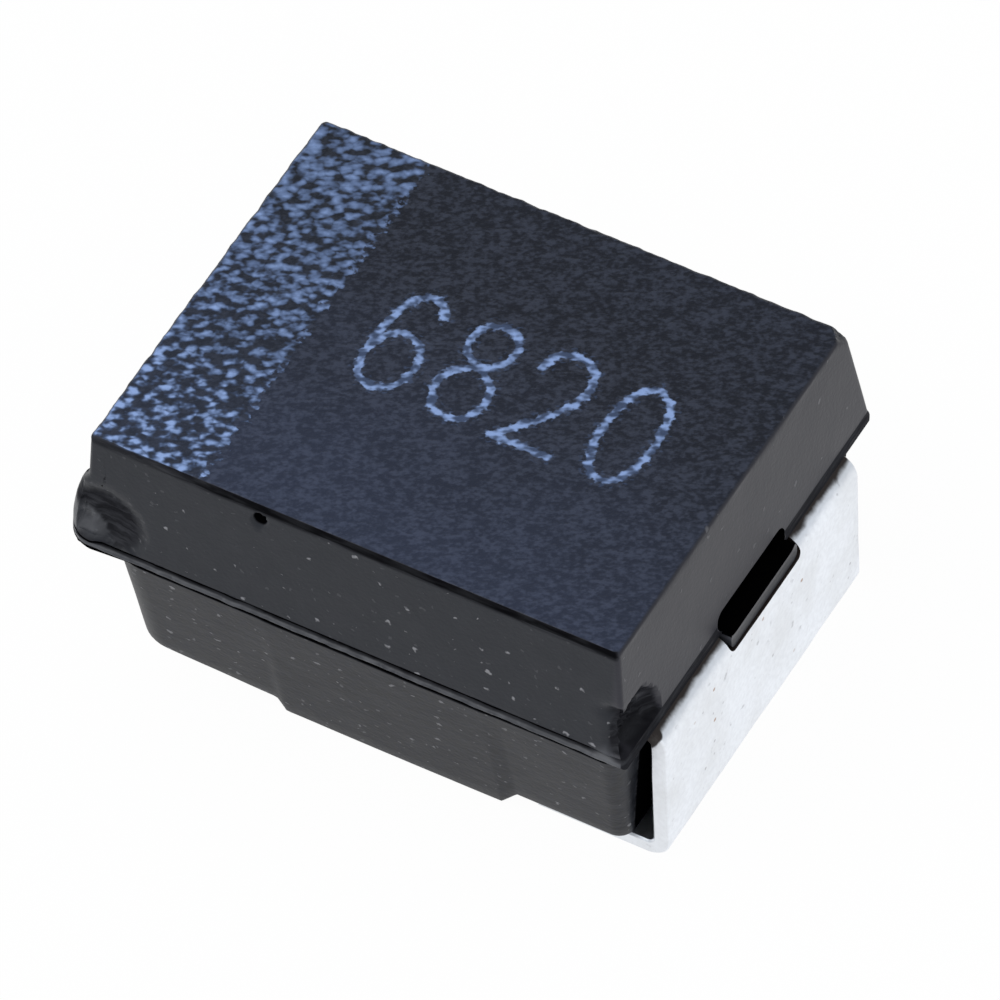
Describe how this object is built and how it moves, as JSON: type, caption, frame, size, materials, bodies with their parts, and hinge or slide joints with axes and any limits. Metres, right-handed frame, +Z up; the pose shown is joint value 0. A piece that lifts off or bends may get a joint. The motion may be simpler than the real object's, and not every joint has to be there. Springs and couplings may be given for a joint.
{
  "type": "tantalum capacitor",
  "caption": "Moulded tantalum chip capacitor for surface mounting: black epoxy case with a polarity stripe, and folded tinned terminals at both ends.",
  "frame": {"origin": "centre of the whole part's footprint, on the solder plane", "axes": "+X towards the cathode terminal, -X towards the striped anode end, +Z up from the solder plane"},
  "size_m": [0.0036, 0.0028, 0.0019],
  "materials": {
    "epoxy": "matte, fine grain",
    "tinned_sheet": "matte tin plate",
    "sintered_tantalum": "sintered, porous",
    "drawn_tantalum": "drawn wire",
    "ptfe": "waxy white",
    "manganese_dioxide": "dull black crust",
    "graphite": "dull dark grey",
    "silver_paint": "dull silver paint",
    "silver_glue": "dull silver-filled resin"
  },
  "bodies": {
    "root": {"moulded_case": "epoxy", "anode_terminal": "tinned_sheet", "cathode_terminal": "tinned_sheet", "tantalum_pellet": "sintered_tantalum", "tantalum_wire": "drawn_tantalum", "insulating_washer": "ptfe", "manganese_dioxide_coat": "manganese_dioxide", "graphite_coat": "graphite", "silver_coat": "silver_paint", "silver_adhesive": "silver_glue"}
  },
  "joints": []
}
